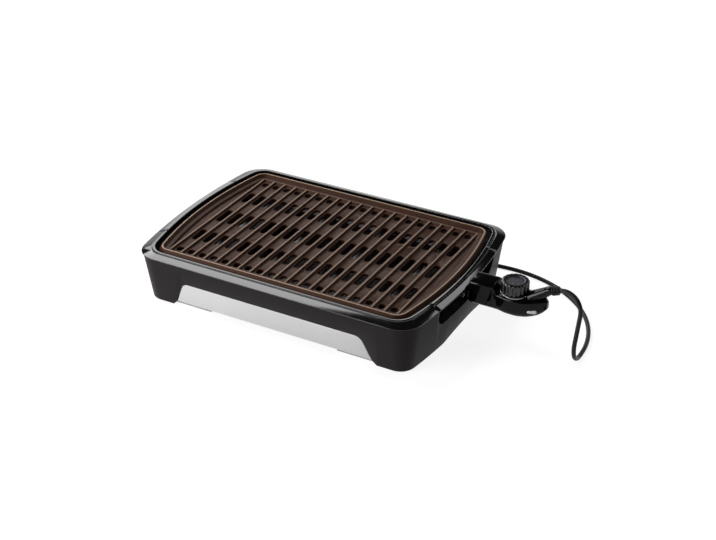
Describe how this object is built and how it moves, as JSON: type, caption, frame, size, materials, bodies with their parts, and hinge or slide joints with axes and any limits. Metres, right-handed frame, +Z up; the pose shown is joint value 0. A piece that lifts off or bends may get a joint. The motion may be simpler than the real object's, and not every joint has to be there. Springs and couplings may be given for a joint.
{
  "type": "electric indoor grill",
  "caption": "Low open electric indoor grill with a ribbed slotted plate, a pull-out drip tray with silver front, side handles and a plug-in thermostat control.",
  "frame": {"origin": "on the table under the middle of the grill with its control plugged in, leaving the cord out", "axes": "+Z up, +X towards the plug-in control, -Y towards the silver front"},
  "size_m": [0.6658, 0.4295, 0.1074],
  "materials": {
    "housing": "satin black moulded thermoplastic",
    "frame": "glossy black moulded thermoplastic",
    "handles": "glossy black moulded thermoplastic",
    "inner": "matt black heat-resistant plastic",
    "bottom": "matt black plastic",
    "rubber": "matt black rubber",
    "screw_steel": "zinc-plated steel",
    "pad": "heat-resistant moulded pads",
    "reflector": "aluminised sheet steel",
    "strap_steel": "sheet steel",
    "element": "dark oxidised steel sheath",
    "ceramic": "white ceramic",
    "pin_steel": "nickel-plated pins",
    "guard": "black phenolic moulding",
    "cast_plate": "brown non-stick coating on cast aluminium",
    "tray": "black heat-resistant plastic",
    "bracket": "matt black plastic",
    "silver_front": "fine matt silver",
    "control_plastic": "glossy black plastic",
    "switch": "phenolic body",
    "brass": "plated brass",
    "rod_steel": "stainless steel",
    "lens": "translucent white",
    "collar": "dark chrome ring",
    "dial_plastic": "glossy black plastic",
    "disc": "bluish grey inset disc",
    "shaft_steel": "steel shaft",
    "cord_rubber": "black rubber",
    "plug": "black moulded plug"
  },
  "bodies": {
    "base": {"base_shell": "housing", "top_frame": "frame", "handle_left": "handles", "handle_right": "handles", "inner_frame": "inner", "bottom_plate": "bottom", "rubber_feet": "rubber", "housing_screws": "screw_steel", "plate_pads": "pad", "heat_reflector": "reflector", "element_straps": "strap_steel", "heating_element": "element", "terminal_beads": "ceramic", "terminal_pins": "pin_steel", "terminal_guard": "guard"},
    "plate": {"grill_plate": "cast_plate"},
    "tray": {"drip_tray": "tray", "tray_bracket": "bracket", "tray_front": "silver_front"},
    "probe": {"probe_nose": "control_plastic", "probe_body": "control_plastic", "probe_base": "control_plastic", "probe_screws": "screw_steel", "thermostat_switch": "switch", "contact_sleeves": "brass", "sensor_rod": "rod_steel", "pilot_lens": "lens", "dial_collar": "collar", "strain_relief": "cord_rubber", "cord_lead": "cord_rubber", "cord_coil": "cord_rubber", "cord_tail": "cord_rubber", "plug_body": "plug", "plug_pins": "pin_steel"},
    "dial": {"control_dial": "dial_plastic", "dial_disc": "disc", "dial_shaft": "shaft_steel"}
  },
  "joints": [
    {"name": "plate_lift", "type": "slide", "parent": "base", "child": "plate", "axis": [0, 0, 1], "range_m": [0, 0.06]},
    {"name": "tray_slide", "type": "slide", "parent": "base", "child": "tray", "axis": [0, -1, 0], "range_m": [0, 0.22]},
    {"name": "control_slide", "type": "slide", "parent": "base", "child": "probe", "axis": [1, 0, 0], "range_m": [0, 0.07]},
    {"name": "dial_turn", "type": "hinge", "parent": "probe", "child": "dial", "pos_m": [0.25047, 0, 0.091], "axis": [0, 0, -1], "range_deg": [0, 300]}
  ]
}
